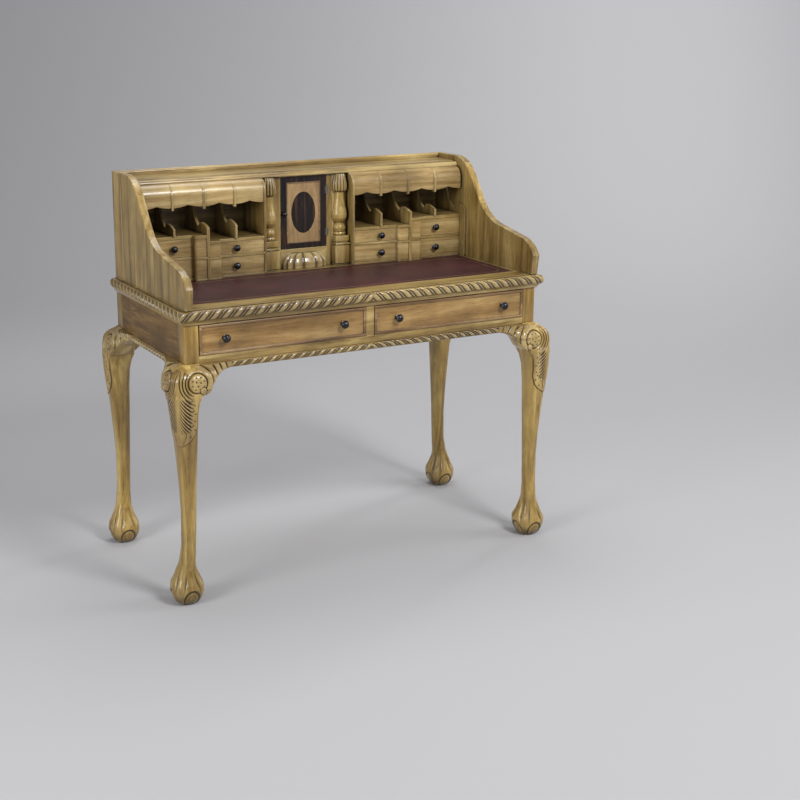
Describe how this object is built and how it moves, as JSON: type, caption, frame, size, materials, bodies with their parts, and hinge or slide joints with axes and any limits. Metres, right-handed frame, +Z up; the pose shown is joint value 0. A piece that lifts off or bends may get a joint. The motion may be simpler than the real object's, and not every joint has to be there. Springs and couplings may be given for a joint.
{
  "type": "writing desk with drawer superstructure",
  "caption": "Carved wooden writing desk on cabriole legs with ball feet, leather writing surface, apron drawers, and a scroll-ended superstructure of small drawers, pigeonholes and a cupboard.",
  "frame": {"origin": "on the floor under the middle of the desk", "axes": "+X to the sitter's right along the desk, +Y from the sitter to the back, +Z up"},
  "size_m": [1.169, 0.586, 1.074],
  "materials": {
    "waxed_wood": "waxed honey-brown, darker in the carving",
    "drawer_front_wood": "waxed, light brown",
    "drawer_lining": "plain sanded",
    "dark_rosewood": "polished dark",
    "satin_wood": "polished",
    "leather": "maroon hide with a gilt line",
    "dark_bronze": "dark bronzed",
    "hinge_metal": "dull lacquered"
  },
  "bodies": {
    "desk_frame": {"leg_front_left": "waxed_wood", "leg_back_left": "waxed_wood", "leg_front_right": "waxed_wood", "leg_back_right": "waxed_wood", "knee_brackets": "waxed_wood", "aprons": "waxed_wood", "front_rails": "waxed_wood", "desk_top": "waxed_wood", "gadroon_mouldings": "waxed_wood", "side_panel_left": "waxed_wood", "side_panel_right": "waxed_wood", "back_panel": "waxed_wood", "top_board": "waxed_wood", "unit_uprights": "waxed_wood", "unit_shelves": "waxed_wood", "pigeonhole_partitions": "waxed_wood", "valances": "waxed_wood", "shell_plaque": "waxed_wood", "drawer_runners": "drawer_lining", "leather_panel": "leather", "stile_hinge_leaves": "hinge_metal"},
    "apron_drawer_left": {"apron_drawer_left_front": "drawer_front_wood", "apron_drawer_left_box": "drawer_lining", "apron_drawer_left_knobs": "dark_bronze"},
    "apron_drawer_right": {"apron_drawer_right_front": "drawer_front_wood", "apron_drawer_right_box": "drawer_lining", "apron_drawer_right_knobs": "dark_bronze"},
    "inner_lower_drawer_left": {"inner_lower_drawer_left_front": "drawer_front_wood", "inner_lower_drawer_left_box": "drawer_lining", "inner_lower_drawer_left_knob": "dark_bronze"},
    "inner_lower_drawer_right": {"inner_lower_drawer_right_front": "drawer_front_wood", "inner_lower_drawer_right_box": "drawer_lining", "inner_lower_drawer_right_knob": "dark_bronze"},
    "inner_upper_drawer_left": {"inner_upper_drawer_left_front": "drawer_front_wood", "inner_upper_drawer_left_box": "drawer_lining", "inner_upper_drawer_left_knob": "dark_bronze"},
    "inner_upper_drawer_right": {"inner_upper_drawer_right_front": "drawer_front_wood", "inner_upper_drawer_right_box": "drawer_lining", "inner_upper_drawer_right_knob": "dark_bronze"},
    "outer_lower_drawer_left": {"outer_lower_drawer_left_front": "drawer_front_wood", "outer_lower_drawer_left_box": "drawer_lining", "outer_lower_drawer_left_knob": "dark_bronze"},
    "outer_lower_drawer_right": {"outer_lower_drawer_right_front": "drawer_front_wood", "outer_lower_drawer_right_box": "drawer_lining", "outer_lower_drawer_right_knob": "dark_bronze"},
    "outer_upper_drawer_left": {"outer_upper_drawer_left_front": "drawer_front_wood", "outer_upper_drawer_left_box": "drawer_lining", "outer_upper_drawer_left_knob": "dark_bronze"},
    "outer_upper_drawer_right": {"outer_upper_drawer_right_front": "drawer_front_wood", "outer_upper_drawer_right_box": "drawer_lining", "outer_upper_drawer_right_knob": "dark_bronze"},
    "document_box_left": {"document_box_left_pilaster": "waxed_wood", "document_box_left_case": "drawer_lining"},
    "document_box_right": {"document_box_right_pilaster": "waxed_wood", "document_box_right_case": "drawer_lining"},
    "cupboard_door": {"door_frame": "dark_rosewood", "door_panel": "satin_wood", "door_oval_inlay": "dark_rosewood", "door_knob": "dark_bronze", "door_hinge_leaves": "hinge_metal"}
  },
  "joints": [
    {"name": "apron_drawer_left_slide", "type": "slide", "parent": "desk_frame", "child": "apron_drawer_left", "axis": [0, -1, 0], "range_m": [0, 0.3]},
    {"name": "apron_drawer_right_slide", "type": "slide", "parent": "desk_frame", "child": "apron_drawer_right", "axis": [0, -1, 0], "range_m": [0, 0.3]},
    {"name": "inner_lower_drawer_left_slide", "type": "slide", "parent": "desk_frame", "child": "inner_lower_drawer_left", "axis": [0, -1, 0], "range_m": [0, 0.1]},
    {"name": "inner_lower_drawer_right_slide", "type": "slide", "parent": "desk_frame", "child": "inner_lower_drawer_right", "axis": [0, -1, 0], "range_m": [0, 0.1]},
    {"name": "inner_upper_drawer_left_slide", "type": "slide", "parent": "desk_frame", "child": "inner_upper_drawer_left", "axis": [0, -1, 0], "range_m": [0, 0.1]},
    {"name": "inner_upper_drawer_right_slide", "type": "slide", "parent": "desk_frame", "child": "inner_upper_drawer_right", "axis": [0, -1, 0], "range_m": [0, 0.1]},
    {"name": "outer_lower_drawer_left_slide", "type": "slide", "parent": "desk_frame", "child": "outer_lower_drawer_left", "axis": [0, -1, 0], "range_m": [0, 0.1]},
    {"name": "outer_lower_drawer_right_slide", "type": "slide", "parent": "desk_frame", "child": "outer_lower_drawer_right", "axis": [0, -1, 0], "range_m": [0, 0.1]},
    {"name": "outer_upper_drawer_left_slide", "type": "slide", "parent": "desk_frame", "child": "outer_upper_drawer_left", "axis": [0, -1, 0], "range_m": [0, 0.1]},
    {"name": "outer_upper_drawer_right_slide", "type": "slide", "parent": "desk_frame", "child": "outer_upper_drawer_right", "axis": [0, -1, 0], "range_m": [0, 0.1]},
    {"name": "document_box_left_slide", "type": "slide", "parent": "desk_frame", "child": "document_box_left", "axis": [0, -1, 0], "range_m": [0, 0.08]},
    {"name": "document_box_right_slide", "type": "slide", "parent": "desk_frame", "child": "document_box_right", "axis": [0, -1, 0], "range_m": [0, 0.08]},
    {"name": "cupboard_door_hinge", "type": "hinge", "parent": "desk_frame", "child": "cupboard_door", "pos_m": [0.073, 0.1395, 0.937], "axis": [0, 0, 1], "range_deg": [0, 90]}
  ]
}
